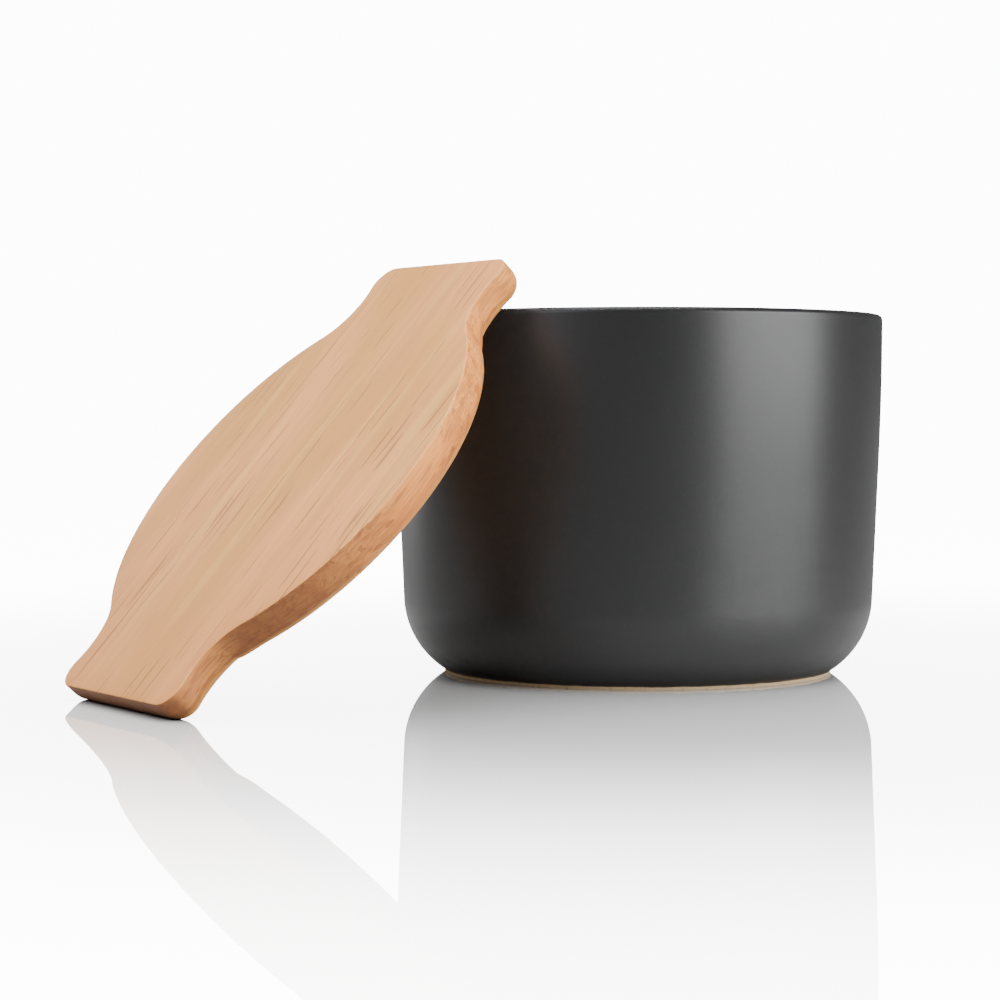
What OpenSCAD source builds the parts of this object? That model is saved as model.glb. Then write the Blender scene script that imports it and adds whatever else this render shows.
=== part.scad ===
// Salt pig: a thick stoneware pot on a bare clay foot, with an oak lid that has two broad ears.
// The lid is off the pot. It leans on the rim with its top face outwards and one ear on the table.

/* [Pot] */
// Outer diameter of the pot, in the straight band below its rim
pot_d = 105; // [90:1:150]
// Height of the pot, from the table to the top of its rim
pot_h = 76.6; // [66:0.1:95]
// Thickness of the wall at the rim
pot_wall = 6.5; // [5:0.1:10]
// Thickness of the floor, above the hollow in the foot
pot_floor = 6.5; // [4:0.5:10]
// Height of the straight band below the rim
pot_band = 16; // [10:0.5:26]
// Angle at which the wall below the band draws in
pot_lean = 2.4; // [0.5:0.1:4]
// Radius of the outer corner between the wall and the foot
pot_corner = 18.7; // [14:0.1:22]
// Radius of the inner corner between the wall and the floor
bowl_corner = 14; // [8:0.5:18]
// Radius that softens both edges of the rim
rim_round = 1.1; // [0.6:0.1:2.5]

/* [Foot ring] */
// Diameter of the foot ring, where the glaze ends
foot_d = 84; // [74:1:89]
// Height of the bare clay below the glaze
foot_h = 0.7; // [0.5:0.1:2]
// How far the side of the foot ring draws in down to the table
foot_bevel = 0.3; // [0.1:0.1:0.6]
// Width of the face on which the foot ring stands
foot_w = 5; // [3:0.5:8]
// Depth of the hollow inside the foot ring
foot_hollow = 1.5; // [0.8:0.1:3]

/* [Lid] */
// Thickness of the round middle of the lid
lid_t = 7.6; // [6.5:0.1:12]
// How much thinner the ears are, so that the middle drops into the mouth
lid_seat = 0.8; // [0.4:0.1:1.6]
// Gap all round between the round middle and the mouth of the pot
lid_gap = 0.4; // [0.2:0.1:1]
// Radius of the rounded lower edge, all round the lid
lid_round = 3.8; // [2:0.1:5]
// How far each ear reaches past the pot
ear_reach = 3.5; // [2:0.1:10]
// Width of an ear across its end, between its sharp corners
ear_w = 54; // [48:0.5:60]
// Radius of an ear's two end corners, seen from above
ear_corner = 4.4; // [1:0.1:6]
// Radius of the hollow curve that runs from the round middle to an ear's end corner
neck_round = 12.8; // [9:0.1:20]

/* [Place of the lid] */
// How far the end of the upper ear reaches past the point where it touches the rim
ear_hold = 7; // [5:0.5:14]
// Direction from the pot to the lid, turned from the X axis as seen from above
lid_turn = 217; // [180:1:250]
// How far the lid stands to one side of the rim's point that it touches
lid_shift = 5.5; // [-8:0.5:8]
// Running gap between the underside of the ear and the rim
lean_gap = 0.2; // [0.1:0.05:0.6]

/* [Hidden] */
$fn = 128;
// Overrun of every cut past the face that it opens
cut = 2;
// How far a curve reaches past the line or curve that it runs into, so that the two cross cleanly
blend = 0.001;

// Pot, in the half section that is turned about the Z axis
pot_r = pot_d / 2;
mouth_r = pot_r - pot_wall;
foot_r = foot_d / 2;
stand_r = foot_r - foot_bevel;
floor_z = foot_hollow + pot_floor;
band_z = pot_h - pot_band;
lean_slope = tan(pot_lean);
// The wall's line and its parallel inner line, as a radius at height zero
wall_r0 = pot_r - lean_slope * band_z;
bowl_r0 = mouth_r - lean_slope * band_z;
// The corner circle runs into the leaning wall and passes through the edge of the foot ring
corner_touch = pot_corner - blend;
corner_r0 = wall_r0 - corner_touch / cos(pot_lean);
corner_a = 1 + pow(lean_slope, 2);
corner_b = lean_slope * (foot_r - corner_r0) + foot_h;
corner_c = pow(foot_r - corner_r0, 2) + pow(foot_h, 2) - pow(pot_corner, 2);
corner_z = (corner_b + sqrt(pow(corner_b, 2) - corner_a * corner_c)) / corner_a;
corner_x = corner_r0 + lean_slope * corner_z;
bowl_touch = bowl_corner - blend;
bowl_z = floor_z + bowl_corner;
bowl_x = bowl_r0 + lean_slope * bowl_z - bowl_touch / cos(pot_lean);

// Lid, in its own frame: X along the grain, top face at height zero
disc_r = mouth_r - lid_gap;
ear_t = lid_t - lid_seat;
lid_half = pot_r + ear_reach;
// The neck circle runs into the round middle and passes through the ear's end corner
corner_reach = norm([lid_half, ear_w / 2]);
neck_reach = disc_r + neck_round - blend;
neck_along = (pow(corner_reach, 2) + pow(neck_reach, 2) - pow(neck_round, 2)) / (2 * corner_reach);
neck_turn = atan(ear_w / 2 / lid_half) + acos(neck_along / neck_reach);
neck_x = neck_reach * cos(neck_turn);
neck_y = neck_reach * sin(neck_turn);
// The end corner circle touches the ear's end and runs into the neck circle
tip_x = lid_half - ear_corner;
tip_reach = neck_round + ear_corner - blend;
tip_y = neck_y - sqrt(pow(tip_reach, 2) - pow(tip_x - neck_x, 2));

// Slope of the leaning lid: the lower ear's rounded end stands on the table and the upper ear's
// underside touches the rim, so the rim's height fixes the slope
lean_reach = 2 * lid_half - lid_round - ear_hold;
lean_rise = lid_round + rim_round + lean_gap;
lean_height = pot_h - rim_round - lid_round;
lid_lean = asin(lean_height / norm([lean_reach, lean_rise])) + atan(lean_rise / lean_reach);
// Place of the middle of its top face, as a height and as a distance from the pot's axis
rest_z = (lid_half - lid_round) * sin(lid_lean) + (ear_t - lid_round) * cos(lid_lean) + lid_round;
rim_reach = (pot_r - rim_round) * sin(lid_lean) + (pot_h - rim_round - rest_z) * cos(lid_lean);
rest_x = (rim_reach + ear_t + rim_round + lean_gap) / sin(lid_lean);

// What a rounded edge takes off a square corner at the origin, the solid lying left and above
module edge_cut(radius) {
    difference() {
        translate([-radius, -cut]) square([radius + cut, radius + cut]);
        translate([-radius, radius]) circle(r = radius);
    }
}

// Outside of the pot in half section, with its sharp rim
module pot_outline() {
    polygon([
        [0, 0],
        [stand_r, 0],
        [foot_r + foot_bevel, 2 * foot_h],
        [corner_x + corner_touch * cos(pot_lean), corner_z - corner_touch * sin(pot_lean)],
        [pot_r, band_z],
        [pot_r, pot_h],
        [0, pot_h]
    ]);
    intersection() {
        translate([corner_x, corner_z]) circle(r = pot_corner);
        translate([corner_x / 2, foot_h / 2]) square([pot_r, corner_z + pot_corner]);
    }
}

// Hollow of the pot in half section
module bowl_outline() {
    polygon([
        [0, floor_z],
        [bowl_x, floor_z],
        [bowl_x, bowl_z],
        [bowl_x + bowl_touch * cos(pot_lean), bowl_z - bowl_touch * sin(pot_lean)],
        [mouth_r, band_z],
        [mouth_r, pot_h + cut],
        [0, pot_h + cut]
    ]);
    translate([bowl_x, bowl_z]) circle(r = bowl_corner);
}

module pot() {
    color([0.14, 0.14, 0.145])
    rotate_extrude()
    difference() {
        pot_outline();
        bowl_outline();
        translate([0, -cut]) square([stand_r - foot_w, foot_hollow + cut]);
        translate([pot_r, pot_h]) mirror([0, 1]) edge_cut(rim_round);
        translate([mouth_r, pot_h]) mirror([1, 0]) mirror([0, 1]) edge_cut(rim_round);
    }
}

// Board section that starts at the origin and ends at a rounded lower edge
module board_edge(length, thickness) {
    difference() {
        translate([0, -thickness]) square([length, thickness]);
        translate([length, -thickness]) edge_cut(lid_round);
    }
}

// Round middle of the lid, a turned disc
module lid_middle() {
    rotate_extrude() board_edge(disc_r, lid_t);
}

// What the hollow curve of a neck takes off, with the rounded lower edge beside it
module neck_cut() {
    translate([neck_x, neck_y, 0])
    rotate_extrude() {
        translate([0, -ear_t - cut]) square([neck_round, ear_t + 2 * cut]);
        translate([neck_round, -ear_t]) mirror([1, 0]) edge_cut(lid_round);
    }
}

// What rounds an end corner of an ear, seen from above
module tip_cut() {
    translate([0, 0, -ear_t - cut])
    linear_extrude(ear_t + 2 * cut)
    difference() {
        polygon([[tip_x, tip_y], [lid_half + cut, tip_y], [lid_half + cut, neck_y], [neck_x, neck_y]]);
        translate([tip_x, tip_y]) circle(r = ear_corner);
    }
}

// What the rounded lower edge takes off the end of an ear
module end_cut() {
    translate([lid_half, 0, -ear_t])
    rotate([90, 0, 0])
    linear_extrude(2 * neck_y, center = true)
    edge_cut(lid_round);
}

// One ear, a flat board from the middle of the lid to the ear's end
module ear() {
    difference() {
        translate([0, 0, -ear_t])
        linear_extrude(ear_t)
        polygon([[0, 0], [neck_x, neck_y], [lid_half, neck_y], [lid_half, -neck_y], [neck_x, -neck_y]]);
        end_cut();
        for (side = [0, 1]) mirror([0, side, 0]) {
            neck_cut();
            tip_cut();
        }
    }
}

module lid() {
    color([0.85, 0.7, 0.55])
    rotate([0, 0, lid_turn])
    translate([rest_x, lid_shift, rest_z])
    rotate([0, lid_lean, 0]) {
        lid_middle();
        ear();
        mirror([1, 0, 0]) ear();
    }
}

pot();
lid();
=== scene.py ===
"""Salt pig: a matt charcoal stoneware pot on a bare clay foot, with an oak lid leaning on its rim."""
from math import acos, asin, atan, cos, hypot, pi, radians, sin, sqrt, tan

import bmesh
import bpy
import numpy as np
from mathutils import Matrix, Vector


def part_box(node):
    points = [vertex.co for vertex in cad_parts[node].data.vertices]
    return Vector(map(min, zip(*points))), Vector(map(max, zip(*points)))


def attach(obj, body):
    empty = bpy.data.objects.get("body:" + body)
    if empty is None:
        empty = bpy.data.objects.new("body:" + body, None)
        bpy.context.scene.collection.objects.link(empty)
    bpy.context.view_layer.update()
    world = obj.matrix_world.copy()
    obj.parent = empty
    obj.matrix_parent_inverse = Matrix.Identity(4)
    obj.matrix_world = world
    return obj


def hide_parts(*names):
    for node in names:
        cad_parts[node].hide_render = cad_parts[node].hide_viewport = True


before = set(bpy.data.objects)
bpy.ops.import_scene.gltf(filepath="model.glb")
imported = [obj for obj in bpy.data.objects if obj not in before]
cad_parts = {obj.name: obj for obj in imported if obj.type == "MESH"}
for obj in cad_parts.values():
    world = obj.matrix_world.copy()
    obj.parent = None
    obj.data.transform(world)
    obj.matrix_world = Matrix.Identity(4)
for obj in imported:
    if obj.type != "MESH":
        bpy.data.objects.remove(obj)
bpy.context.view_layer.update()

# Sizes in metres, those of the part's source. The pot's width and height come from the frame.
MM = 0.001
pot_low, pot_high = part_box("pot")
POT_R = (pot_high.x - pot_low.x) / 2
POT_H = pot_high.z
POT_WALL = 6.5 * MM
POT_FLOOR = 6.5 * MM
POT_BAND = 16 * MM
POT_LEAN = radians(2.4)
POT_CORNER = 18.7 * MM
BOWL_CORNER = 14 * MM
RIM_ROUND = 1.1 * MM
FOOT_R = 42 * MM
FOOT_H = 0.7 * MM
STAND_R = 41.7 * MM
FOOT_W = 5 * MM
FOOT_HOLLOW = 1.5 * MM

LID_T = 7.6 * MM
LID_SEAT = 0.8 * MM
LID_GAP = 0.4 * MM
LID_ROUND = 3.8 * MM
EAR_REACH = 3.5 * MM
EAR_W = 54 * MM
EAR_CORNER = 4.4 * MM
NECK_ROUND = 12.8 * MM
EAR_HOLD = 7 * MM
LEAN_GAP = 0.2 * MM
LID_TURN = radians(217)
LID_SHIFT = 5.5 * MM

# Points of a skin that are nearer than this become one
SAME_POINT = 0.002 * MM


# ---- Making meshes

def line(start, end, count):
    """Points from start to end: start + (end - start) * share."""
    share = np.linspace(0, 1, count)[:, None]
    return np.array(start) + (np.array(end) - np.array(start)) * share


def arc(centre, radius, start, end, count):
    """Points at the centre + radius * (cos turn, sin turn), the turn going from start to end."""
    turn = np.linspace(start, end, count)
    return np.array(centre) + radius * np.column_stack([np.cos(turn), np.sin(turn)])


def bend(start, corner, end, count):
    """Points on the parabola from start to end that touches the lines to the corner between them."""
    share = np.linspace(0, 1, count)[:, None]
    terms = ((1 - share) ** 2, start), (2 * share * (1 - share), corner), (share ** 2, end)
    return sum(weight * np.array(point) for weight, point in terms)


def closed_skin(name, rings, marks=None):
    """Skin over rings[i, j] that closes round in j, whose first and last ring are a single point each.

    Seen from outside, i climbs while j runs to the right. Marks are named values at the same places.
    """
    rows, columns = rings.shape[:2]
    here = np.arange(columns)
    after = np.roll(here, -1)
    row = (np.arange(rows - 1) * columns)[:, None]
    faces = np.stack([row + here, row + after, row + columns + after, row + columns + here], axis=-1)
    mesh = bpy.data.meshes.new(name)
    mesh.from_pydata(rings.reshape(-1, 3).tolist(), [], faces.reshape(-1, 4).tolist())
    for mark, values in (marks or {}).items():
        layer = mesh.attributes.new(mark, "FLOAT", "POINT")
        layer.data.foreach_set("value", np.broadcast_to(values, (rows, columns)).ravel().astype(float))
    skin = bmesh.new()
    skin.from_mesh(mesh)
    bmesh.ops.remove_doubles(skin, verts=skin.verts, dist=SAME_POINT)
    skin.to_mesh(mesh)
    skin.free()
    mesh.shade_smooth()
    piece = bpy.data.objects.new(name, mesh)
    bpy.context.collection.objects.link(piece)
    return piece


# ---- Pot

def pot_section():
    """Half section of the pot as (radius, height), from the middle of its underside round to the bowl's.

    Straight lines and arcs: the hollow in the foot, the foot ring, the big corner, the leaning wall, a
    long soft bend into the straight band, the rim, and the bowl inside.
    """
    slope = tan(POT_LEAN)
    band_z = POT_H - POT_BAND
    wall_r0 = POT_R - slope * band_z
    corner_r0 = wall_r0 - POT_CORNER / cos(POT_LEAN)
    a = 1 + slope ** 2
    b = slope * (FOOT_R - corner_r0) + FOOT_H
    c = (FOOT_R - corner_r0) ** 2 + FOOT_H ** 2 - POT_CORNER ** 2
    corner_z = (b + sqrt(b * b - a * c)) / a
    corner_x = corner_r0 + slope * corner_z
    foot_turn = -acos((FOOT_R - corner_x) / POT_CORNER)
    mouth_r = POT_R - POT_WALL
    floor_z = FOOT_HOLLOW + POT_FLOOR
    bowl_z = floor_z + BOWL_CORNER
    bowl_x = mouth_r - slope * band_z + slope * bowl_z - BOWL_CORNER / cos(POT_LEAN)
    ring_in = STAND_R - FOOT_W
    soft = 0.2 * MM
    crisp = 0.03 * MM
    ease = 14 * MM
    wall_end = [POT_R - slope * ease, band_z - ease]
    parts = [
        line([0, FOOT_HOLLOW], [ring_in - 2 * soft, FOOT_HOLLOW], 14),
        arc([ring_in - soft, FOOT_HOLLOW - soft], soft, pi / 2, 0, 7),
        arc([ring_in + soft, soft], soft, pi, 1.5 * pi, 7),
        line([ring_in + 2 * soft, 0], [STAND_R - 2 * crisp, 0], 5),
        arc([STAND_R - crisp, crisp], crisp, -pi / 2, 0, 5),
        line([STAND_R, 3 * crisp], [FOOT_R - 0.05 * MM, FOOT_H], 5),
        arc([corner_x, corner_z], POT_CORNER, foot_turn, -POT_LEAN, 64),
        line([wall_r0 + slope * (corner_z + 2 * MM), corner_z + 2 * MM], wall_end, 20),
        bend(wall_end, [POT_R, band_z], [POT_R, band_z + ease], 30)[1:],
        line([POT_R, band_z + ease + 0.2 * MM], [POT_R, POT_H - RIM_ROUND], 6),
        arc([POT_R - RIM_ROUND, POT_H - RIM_ROUND], RIM_ROUND, 0, pi / 2, 12),
        line([POT_R - RIM_ROUND - 0.5 * MM, POT_H], [mouth_r + RIM_ROUND + 0.5 * MM, POT_H], 6),
        arc([mouth_r + RIM_ROUND, POT_H - RIM_ROUND], RIM_ROUND, pi / 2, pi, 12),
        line([mouth_r, POT_H - RIM_ROUND - 1 * MM], [mouth_r, band_z + 1 * MM], 10),
        line([mouth_r, band_z], [mouth_r - slope * (band_z - bowl_z - 2 * MM), bowl_z + 2 * MM], 26),
        arc([bowl_x, bowl_z], BOWL_CORNER, -POT_LEAN, -pi / 2, 30),
        line([bowl_x - 1 * MM, floor_z], [0, floor_z], 12),
    ]
    return np.concatenate(parts)


def turned(section, columns):
    """Rings of a turned shape: (radius * cos turn, radius * sin turn, height)."""
    turn = np.linspace(0, 2 * pi, columns, endpoint=False)
    radius = section[:, :1]
    height = np.broadcast_to(section[:, 1:], (len(section), columns))
    return np.stack([radius * np.cos(turn), radius * np.sin(turn), height], axis=-1)


# ---- Lid, in its own frame: X along the grain, top face at height zero

DISC_R = POT_R - POT_WALL - LID_GAP
EAR_T = LID_T - LID_SEAT
LID_HALF = POT_R + EAR_REACH
CORNER_REACH = hypot(LID_HALF, EAR_W / 2)
NECK_REACH = DISC_R + NECK_ROUND
NECK_ALONG = (CORNER_REACH ** 2 + NECK_REACH ** 2 - NECK_ROUND ** 2) / (2 * CORNER_REACH)
NECK_TURN = atan(EAR_W / 2 / LID_HALF) + acos(NECK_ALONG / NECK_REACH)
NECK_X = NECK_REACH * cos(NECK_TURN)
NECK_Y = NECK_REACH * sin(NECK_TURN)
TIP_X = LID_HALF - EAR_CORNER
TIP_Y = NECK_Y - sqrt((NECK_ROUND + EAR_CORNER) ** 2 - (TIP_X - NECK_X) ** 2)

# Where the lid leans, worked out as in the part's source
LEAN_REACH = 2 * LID_HALF - LID_ROUND - EAR_HOLD
LEAN_RISE = LID_ROUND + RIM_ROUND + LEAN_GAP
LEAN_HEIGHT = POT_H - RIM_ROUND - LID_ROUND
LID_LEAN = asin(LEAN_HEIGHT / hypot(LEAN_REACH, LEAN_RISE)) + atan(LEAN_RISE / LEAN_REACH)
REST_Z = (LID_HALF - LID_ROUND) * sin(LID_LEAN) + (EAR_T - LID_ROUND) * cos(LID_LEAN) + LID_ROUND
RIM_REACH = (POT_R - RIM_ROUND) * sin(LID_LEAN) + (POT_H - RIM_ROUND - REST_Z) * cos(LID_LEAN)
REST_X = (RIM_REACH + EAR_T + RIM_ROUND + LEAN_GAP) / sin(LID_LEAN)
LID_MIDDLE = (
    REST_X * cos(LID_TURN) - LID_SHIFT * sin(LID_TURN),
    REST_X * sin(LID_TURN) + LID_SHIFT * cos(LID_TURN),
    REST_Z,
)


def lid_outline(inset):
    """The lid's outline moved inwards by inset, seen from above, as points that run round to the left.

    A quarter is half of the ear's end, its corner arc, the neck arc and the arc of the round middle. It is
    mirrored for the second quarter, and turned by half a turn for the other two. Where the inset is
    larger than the corner arc, the end line and the neck arc are cut where they cross.
    """
    neck = NECK_ROUND + inset
    end_x = LID_HALF - inset
    corner = EAR_CORNER - inset
    if corner > 0:
        tip_turn = np.arctan2(TIP_Y - NECK_Y, TIP_X - NECK_X)
        end_y = TIP_Y
        corner_arc = arc([TIP_X, TIP_Y], corner, 0, tip_turn + pi, 9)
    else:
        end_y = NECK_Y - sqrt(neck ** 2 - (end_x - NECK_X) ** 2)
        tip_turn = np.arctan2(end_y - NECK_Y, end_x - NECK_X)
        corner_arc = np.repeat([[end_x, end_y]], 9, axis=0)
    start = NECK_TURN - pi
    quarter = np.concatenate([
        line([end_x, 0], [end_x, end_y], 26)[:-1],
        corner_arc,
        arc([NECK_X, NECK_Y], neck, tip_turn, start, 64)[1:],
        arc([0, 0], DISC_R - inset, NECK_TURN, pi / 2, 72)[1:],
    ])
    half = np.concatenate([quarter, (quarter * [-1, 1])[-2::-1]])
    return np.concatenate([half[:-1], -half[:-1]])


def disc_depth(radius):
    """Depth of the round middle's underside: its thickness, less the quarter round at its edge."""
    over = np.clip(radius - (DISC_R - LID_ROUND), 0, LID_ROUND)
    return LID_T - LID_ROUND + np.sqrt(LID_ROUND ** 2 - over ** 2)


def lid_rings():
    """Rings of the lid from the middle of its underside, round its edge, to the middle of its top face.

    Underside: along rays from the middle, the round middle's face, its rounded step up to the ears, and the
    ears' face. Edge: a quarter ellipse from the inner outline to the outer one, the straight side, and a
    tiny round under the top face.
    """
    outer = lid_outline(0)
    inner = lid_outline(LID_ROUND)
    crisp = 0.3 * MM
    top = lid_outline(crisp)
    reach = np.hypot(*inner.T)
    ray = inner / reach[:, None]
    face_r = DISC_R - LID_ROUND
    step_r = face_r + sqrt(LID_ROUND ** 2 - (EAR_T - LID_T + LID_ROUND) ** 2)
    step = np.minimum(reach, step_r)
    rows = []

    def add(flat, depth):
        rows.append(np.column_stack([flat, -np.broadcast_to(depth, len(outer))]))

    for share in np.linspace(0, 1, 12):
        add(ray * face_r * share, LID_T)
    for share in np.sin(np.linspace(0, pi / 2, 8))[1:]:
        radius = face_r + (step - face_r) * share
        add(ray * radius[:, None], disc_depth(radius))
    for share in np.linspace(0, 1, 8)[1:]:
        add(ray * (step + (reach - step) * share)[:, None], disc_depth(step))
    thick = disc_depth(step)
    for turn in np.linspace(0, pi / 2, 15)[1:]:
        add(inner + (outer - inner) * sin(turn), thick - LID_ROUND * (1 - cos(turn)))
    for share in np.linspace(0, 1, 7)[1:]:
        add(outer, (thick - LID_ROUND) * (1 - share) + crisp * share)
    for turn in np.linspace(0, pi / 2, 6)[1:]:
        add(outer + (top - outer) * (1 - cos(turn)), crisp * (1 - sin(turn)))
    for share in np.linspace(1, 0, 14)[1:]:
        add(top * share, 0)
    return np.stack(rows)


def leaning(points):
    """Lid points where the lid leans: tilted about Y, moved out, aside and up, and turned about Z."""
    x, y, z = np.moveaxis(points, -1, 0)
    out = REST_X + x * cos(LID_LEAN) + z * sin(LID_LEAN)
    aside = LID_SHIFT + y
    up = REST_Z - x * sin(LID_LEAN) + z * cos(LID_LEAN)
    return np.stack([
        out * cos(LID_TURN) - aside * sin(LID_TURN),
        out * sin(LID_TURN) + aside * cos(LID_TURN),
        up,
    ], axis=-1)


def lid_marks(rings):
    """Three marks from each point's normal (x, y, z), which is the cross product of the differences along
    and across the rings: end grain |x|, facing the lower ear x / |(x, y)| where above 0, side 1 - |z|."""
    near, wide = (np.roll(rings, -step, axis=1) - np.roll(rings, step, axis=1) for step in (1, 5))
    along = np.where(np.linalg.norm(near, axis=-1, keepdims=True) > 0.001 * MM, near, wide)
    across = np.gradient(rings, axis=0)
    normal = np.cross(along, across)
    normal[0], normal[-1] = normal[1], normal[-2]
    length = np.linalg.norm(normal, axis=-1, keepdims=True)
    tiny = 1e-12
    x, y, z = np.moveaxis(np.where(length > tiny, normal / np.maximum(length, tiny), [0, 0, -1]), -1, 0)
    return {
        "end_grain": np.abs(x),
        "facing_low": np.clip(x / np.maximum(np.hypot(x, y), tiny), 0, 1),
        "side": 1 - np.abs(z),
    }


# ---- Materials

class Value:
    """A number that varies over a surface. Arithmetic on it adds the Math nodes that work it out."""

    def __init__(self, shader, socket):
        self.shader = shader
        self.socket = socket

    def math(self, operation, *others):
        return self.shader.node("ShaderNodeMath", {"operation": operation}, self, *others)

    def __add__(self, other):
        return self.math("ADD", other)

    def __sub__(self, other):
        return self.math("SUBTRACT", other)

    def __rsub__(self, other):
        return self.shader.node("ShaderNodeMath", {"operation": "SUBTRACT"}, other, self)

    def __mul__(self, other):
        return self.math("MULTIPLY", other)

    def __truediv__(self, other):
        return self.math("DIVIDE", other)

    def __pow__(self, other):
        return self.math("POWER", other)

    __radd__ = __add__
    __rmul__ = __mul__

    def step(self, low, high):
        """0 below low, 1 above high and a smooth rise between, or the other way round."""
        settings = {"interpolation_type": "SMOOTHSTEP"}
        if low < high:
            return self.shader.node("ShaderNodeMapRange", settings, self, low, high, 0.0, 1.0)
        return self.shader.node("ShaderNodeMapRange", settings, self, high, low, 1.0, 0.0)


class Shader:
    """A material that is written as expressions on values."""

    def __init__(self, name):
        self.material = bpy.data.materials.new(name)
        self.material.use_nodes = True
        self.tree = self.material.node_tree
        self.surface = self.tree.nodes["Principled BSDF"]

    def node(self, kind, settings, *values, output=0, **named):
        """One node: its settings are set first, then its sockets get values or links. Returns an output."""
        made = self.tree.nodes.new(kind)
        for setting, value in settings.items():
            setattr(made, setting, value)
        sockets = [*zip(made.inputs, values), *((made.inputs[key], value) for key, value in named.items())]
        for socket, value in sockets:
            self.feed(socket, value)
        return Value(self, made.outputs[output])

    def feed(self, socket, value):
        if isinstance(value, Value):
            self.tree.links.new(value.socket, socket)
        else:
            socket.default_value = value

    def mix(self, share, first, second):
        """Colour that goes from the first to the second with the share."""
        made = self.tree.nodes.new("ShaderNodeMix")
        made.data_type = "RGBA"
        for place, value in ((0, share), (6, first), (7, second)):
            self.feed(made.inputs[place], value)
        return Value(self, made.outputs[2])

    def place(self):
        """Object coordinates, which are the shared frame's, because every object sits at the origin."""
        return self.node("ShaderNodeTexCoord", {}, output=3)

    def split(self, vector):
        """The x, y and z of a vector."""
        made = self.tree.nodes.new("ShaderNodeSeparateXYZ")
        self.feed(made.inputs[0], vector)
        return (Value(self, part) for part in made.outputs)

    def mark(self, name):
        """A named value that the mesh carries."""
        return self.node("ShaderNodeAttribute", {"attribute_name": name}, output=2)

    def noise(self, point, scale, detail=2.0, rough=0.5):
        settings = {"noise_dimensions": "3D"}
        named = {"Vector": point, "Scale": scale, "Detail": detail, "Roughness": rough}
        return self.node("ShaderNodeTexNoise", settings, **named)

    def streaks(self, point, scale, **named):
        """Noise whose scale differs along x, y and z."""
        stretched = self.node("ShaderNodeVectorMath", {"operation": "MULTIPLY"}, point, scale)
        return self.noise(stretched, 1.0, **named)

    def bump(self, height, depth, under=None):
        named = {"Height": height, "Strength": 1.0, "Distance": depth}
        if under is not None:
            named["Normal"] = under
        return self.node("ShaderNodeBump", {}, **named)

    def finish(self, **inputs):
        for key, value in inputs.items():
            self.feed(self.surface.inputs[key.replace("_", " ")], value)
        return self.material


def colour(red, green, blue):
    return (red, green, blue, 1.0)


def grey(level):
    return colour(level, level, level)


def glazed_stoneware():
    """Satin charcoal glaze over buff clay, left bare on the foot ring."""
    look = Shader("glazed_stoneware")
    place = look.place()
    x, y, z = look.split(place)
    out = (x * x + y * y) ** 0.5
    ragged = (look.noise(place, 300.0) - 0.5) * (0.3 * MM)
    bare = (z + ragged).step(FOOT_H - 0.02 * MM, FOOT_H - 0.12 * MM) * out.step(30 * MM, 31 * MM)
    cloud = look.noise(place, 28.0, detail=3.0)
    speck = look.noise(place, 1900.0, detail=1.0)
    glaze = look.mix(cloud, colour(0.0120, 0.0121, 0.0125), colour(0.0160, 0.0161, 0.0165))
    glaze = look.mix(speck.step(0.66, 0.74) * 0.15, glaze, colour(0.040, 0.040, 0.041))
    sand = look.noise(place, 900.0, detail=4.0, rough=0.7)
    clay = look.mix(sand, colour(0.48, 0.34, 0.18), colour(0.66, 0.49, 0.29))
    clay = look.mix(speck.step(0.62, 0.72) * 0.5, clay, colour(0.24, 0.17, 0.10))
    grit = look.bump(sand * bare, 0.10 * MM)
    pool = look.bump(look.noise(place, 55.0) * (1 - bare), 0.06 * MM, grit)
    tooth = look.bump(look.noise(place, 2600.0) * (1 - bare), 0.006 * MM, pool)
    return look.finish(
        Base_Color=look.mix(bare, glaze, clay),
        Roughness=(0.33 + cloud * 0.05) * (1 - bare) + bare * 0.88,
        Normal=tooth,
    )


# How far the middle of the tree lies from the lid's, and the width of a year's ring
PITH_ASIDE = 130 * MM
PITH_BELOW = 60 * MM
RING_STEP = 3.4 * MM


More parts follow.
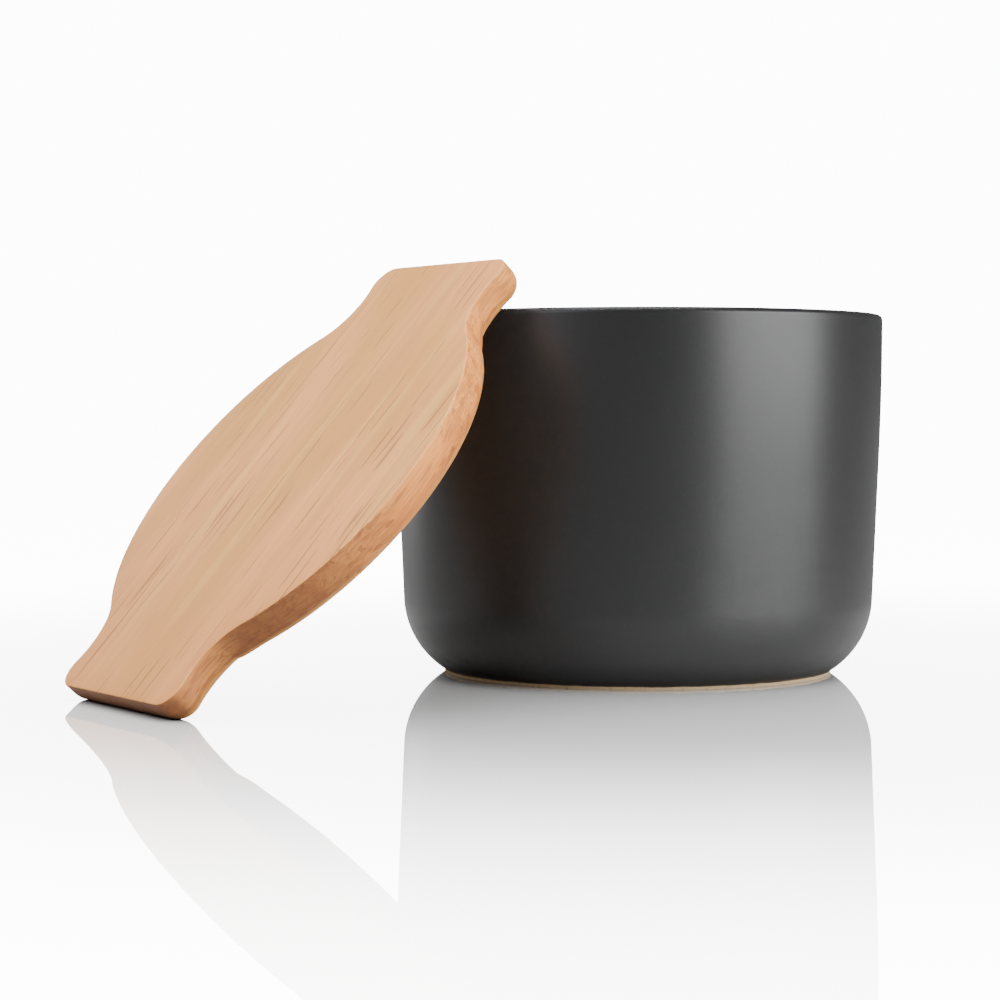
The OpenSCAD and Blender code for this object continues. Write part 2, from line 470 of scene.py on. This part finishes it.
def oiled_oak():
    """Oiled oak with its grain along the lid: soft bands, pale streaks and dark pore dashes, with a painted
    shade on the face and the side towards the lower ear that turns the side's orange tone to a dark red
    brown, and a painted highlight along the top edge."""
    look = Shader("oiled_oak")
    place = look.place()
    grain = look.node(
        "ShaderNodeMapping", {"vector_type": "TEXTURE"},
        Vector=place, Location=LID_MIDDLE, Rotation=(0.0, LID_LEAN, LID_TURN),
    )
    drift = look.streaks(grain, (16.0, 40.0, 40.0), detail=2.0)
    lane = look.node(
        "ShaderNodeVectorMath", {"operation": "MULTIPLY_ADD"}, drift, (0.0, 4 * MM, 4 * MM), grain,
    )
    x, y, z = look.split(lane)
    across = y + PITH_ASIDE
    below = z + PITH_BELOW
    radius = (across * across + below * below) ** 0.5
    ring = (radius / RING_STEP).math("FRACT")
    late = ring.step(0.25, 0.95) * ring.step(1.0, 0.94)
    wide = look.streaks(lane, (13.0, 40.0, 40.0), detail=1.0)
    band = look.streaks(lane, (11.0, 110.0, 110.0), detail=2.0)
    streak = look.streaks(lane, (16.0, 260.0, 260.0), detail=3.0).step(0.54, 0.70)
    fibre = look.streaks(lane, (50.0, 2300.0, 2300.0), detail=3.0)
    where = look.streaks(lane, (18.0, 150.0, 150.0), detail=1.0)
    vessel = look.streaks(lane, (50.0, 1250.0, 1250.0), detail=0.0)
    thin = look.streaks(lane, (110.0, 2900.0, 2900.0), detail=0.0)
    pores = (vessel + where * 0.12).step(0.775, 0.835)
    fine = (thin + where * 0.20).step(0.80, 0.92)
    blotch = look.streaks(lane, (60.0, 300.0, 700.0), detail=3.0, rough=0.7).step(0.46, 0.62)
    gash = look.streaks(lane, (80.0, 1000.0, 1500.0), detail=0.0).step(0.66, 0.74)
    ray = look.streaks(lane, (230.0, 420.0, 2400.0), detail=1.0).step(0.60, 0.72)
    low = look.mark("facing_low")
    end = look.mark("end_grain")
    side = look.mark("side")
    cut = side.step(0.10, 0.60)
    painted_edge_highlight = side.step(0.02, 0.12) * side.step(0.60, 0.30)

    red_brown = colour(0.42, 0.125, 0.022)
    pore_brown = colour(0.24, 0.095, 0.03)
    face = look.mix(wide.step(0.40, 0.58), colour(0.69, 0.300, 0.047), colour(0.87, 0.338, 0.090))
    face = look.mix(band.step(0.42, 0.62) * 0.45, face, colour(0.60, 0.250, 0.044))
    face = look.mix(late * 0.10, face, colour(0.50, 0.20, 0.04))
    face = look.mix(streak * 0.36, face, colour(0.95, 0.52, 0.125))
    face = look.mix(fibre.step(0.35, 0.75) * 0.16, face, colour(0.50, 0.20, 0.042))
    # Painted shade: the top face darker towards the lower ear
    face = look.mix(x.step(0, 60 * MM) * 0.60, face, colour(0.60, 0.220, 0.036))
    edge = look.mix(band.step(0.30, 0.70), colour(0.80, 0.255, 0.040), colour(1.0, 0.390, 0.078))
    edge = look.mix(late * 0.30, edge, red_brown)
    edge = look.mix(fibre.step(0.35, 0.75) * 0.36, edge, red_brown)
    edge = look.mix(blotch * 0.42, edge, colour(0.36, 0.10, 0.018))
    edge = look.mix(gash * 0.45, edge, colour(0.26, 0.075, 0.015))
    edge = look.mix(ray * 0.34, edge, colour(1.0, 0.46, 0.11))
    # Painted shade on the side: darker towards the lower ear and where the side faces it, down to a dark
    # red brown
    shade = x.step(-12 * MM, 38 * MM) * 0.46 + low.step(0.15, 0.62) * 0.30 + low.step(0.80, 1.0) * 0.10
    edge = look.mix(shade, edge, colour(0.10, 0.032, 0.012))
    wood = look.mix(cut, face, edge)
    # Painted highlight along the rounded top edge
    wood = look.mix(painted_edge_highlight * 0.22, wood, colour(0.98, 0.52, 0.15))
    wood = look.mix(pores * 0.54, wood, pore_brown)
    wood = look.mix(fine * 0.26, wood, pore_brown)
    ridges = look.bump(fibre, 0.030 * MM)
    pits = look.bump(1 - pores, 0.08 * MM, ridges)
    return look.finish(
        Base_Color=wood,
        Roughness=0.52 + fibre * 0.12 + pores * 0.15 + end * 0.05,
        Normal=pits,
    )


def pale_floor(near, far, cast_near, cast_far):
    """White floor with a gloss: a clear reflection and, where it is seen, a painted shade that is grey near
    the object and lightens away from it, and a soft reflection and a grey that darkens away for the light
    that it throws back."""
    look = Shader("pale_floor")
    path = look.node("ShaderNodeLightPath", {})
    place = look.place()
    out = look.node("ShaderNodeVectorMath", {"operation": "LENGTH"}, place, output=1)
    # Painted shade: grey near the object, lightening away from it
    seen = look.mix(out.step(0.10, 0.33) ** 1.25, grey(near), grey(far))
    cast = look.mix(out.step(0.07, 0.24), grey(cast_near), grey(cast_far))
    return look.finish(
        Base_Color=look.mix(path, cast, seen),
        Roughness=0.3 - path * 0.3,
        IOR=2.0,
    )


# ---- The object

pot = closed_skin("pot_stoneware", turned(pot_section(), 240))
pot.data.materials.append(glazed_stoneware())
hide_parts("pot")
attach(pot, "pot")

lid_shape = lid_rings()
lid = closed_skin("lid_oak", leaning(lid_shape), lid_marks(lid_shape))
lid.data.materials.append(oiled_oak())
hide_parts("lid")
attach(lid, "lid")


# ---- Floor, light and camera

def soft_light(name, power, size, place):
    """A soft box that faces the object, with its size as width and height."""
    data = bpy.data.lights.new(name, "AREA")
    data.shape = "RECTANGLE"
    data.size, data.size_y = size
    data.energy = power
    # A mirrored ray then never meets the box, so the floor's clear reflection doesn't show it
    data.cycles.use_multiple_importance_sampling = False
    light = bpy.data.objects.new(name, data)
    bpy.context.collection.objects.link(light)
    light.location = place
    away = Vector(place) - LIT_POINT
    light.rotation_euler = away.to_track_quat("Z", "Y").to_euler()
    light.visible_camera = False
    return light


def group(name, pieces):
    made = bpy.data.collections.new(name)
    for piece in pieces:
        made.objects.link(piece)
    return made


def only_for(light, *pieces):
    """Make a light fall on the given objects only."""
    light.light_linking.receiver_collection = group("lit_by_" + light.name, pieces)


def shaded_by(light, *pieces):
    """Let only the given objects throw a shadow in a light."""
    light.light_linking.blocker_collection = group("shades_" + light.name, pieces)


def floor_light(strength, floor):
    """Even soft light from above that only the floor receives, so that it stays white round the shadows."""
    data = bpy.data.lights.new("floor_sun", "SUN")
    data.energy = strength
    data.angle = radians(110)
    light = bpy.data.objects.new("floor_sun", data)
    bpy.context.collection.objects.link(light)
    light.visible_glossy = False
    only_for(light, floor)


def surroundings(seen, cast):
    """Pale surroundings: one brightness where the camera sees them, straight or in the floor's clear
    reflection, and one for the light that they cast."""
    world = bpy.data.worlds.new("pale_room")
    bpy.context.scene.world = world
    world.use_nodes = True
    nodes, links = world.node_tree.nodes, world.node_tree.links
    path = nodes.new("ShaderNodeLightPath")
    clear = nodes.new("ShaderNodeMath")
    clear.operation = "MAXIMUM"
    links.new(path.outputs["Is Camera Ray"], clear.inputs[0])
    links.new(path.outputs["Is Singular Ray"], clear.inputs[1])
    glow = nodes.new("ShaderNodeMix")
    links.new(clear.outputs[0], glow.inputs[0])
    glow.inputs[2].default_value = cast
    glow.inputs[3].default_value = seen
    background = nodes["Background"]
    background.inputs["Color"].default_value = grey(1.0)
    links.new(glow.outputs[0], background.inputs["Strength"])


FLOOR_R = 6.0
# The floor lies a hair below the table's height, so that the foot's face doesn't lie in it
FLOOR_Z = -0.01 * MM
LIT_POINT = Vector((0.0, 0.0, 0.05))

floor = closed_skin("floor", turned(line([0, 0], [FLOOR_R, 0], 24), 96)[:, ::-1])
floor.location.z = FLOOR_Z
floor.data.materials.append(pale_floor(near=0.15, far=1.0, cast_near=0.11, cast_far=0.05))

surroundings(seen=13.5, cast=0.20)
# Soft boxes: power in watts, width and height, place, and the objects that they light
boxes = {
    "right_box": (20.5, (1.04, 0.68), (0.955, -0.475, 0.26), (pot, floor)),
    "left_front_box": (1.5, (0.4, 0.5), (-0.62, -0.64, 0.42), (pot,)),
    "left_fill_box": (0.9, (0.4, 0.5), (-0.62, -0.64, 0.42), (pot,)),
    "left_back_box": (3.8, (0.35, 0.9), (-0.75, 0.72, 0.40), (pot, lid)),
    "top_box": (8.0, (0.9, 0.9), (-0.15, -0.10, 1.0), (pot, lid)),
    "lid_box": (8.0, (0.9, 0.9), (-0.45, -0.45, 0.82), (lid,)),
    "lid_side_box": (18.5, (0.7, 0.7), (0.52, -0.60, 0.66), (lid,)),
}
for name, (power, size, place, lit) in boxes.items():
    box = soft_light(name, power, size, place)
    only_for(box, *lit)
    if name == "left_fill_box":
        # Cool and not shaded by the lid, against the warm tone that the pot mirrors from the lid
        box.data.color = (0.72, 1.0, 1.3)
        shaded_by(box, pot)
floor_light(45.0, floor)

# The camera that was solved from the photo
camera_data = bpy.data.cameras.new("camera")
camera_data.sensor_width = 36
camera_data.lens = 90
camera = bpy.data.objects.new("camera", camera_data)
bpy.context.collection.objects.link(camera)
camera.location = (0.0, -0.5434, 0.05605)
camera.rotation_euler = (radians(90 - 2.03), 0.0, radians(3.14))
bpy.context.scene.camera = camera

bpy.context.view_layer.update()
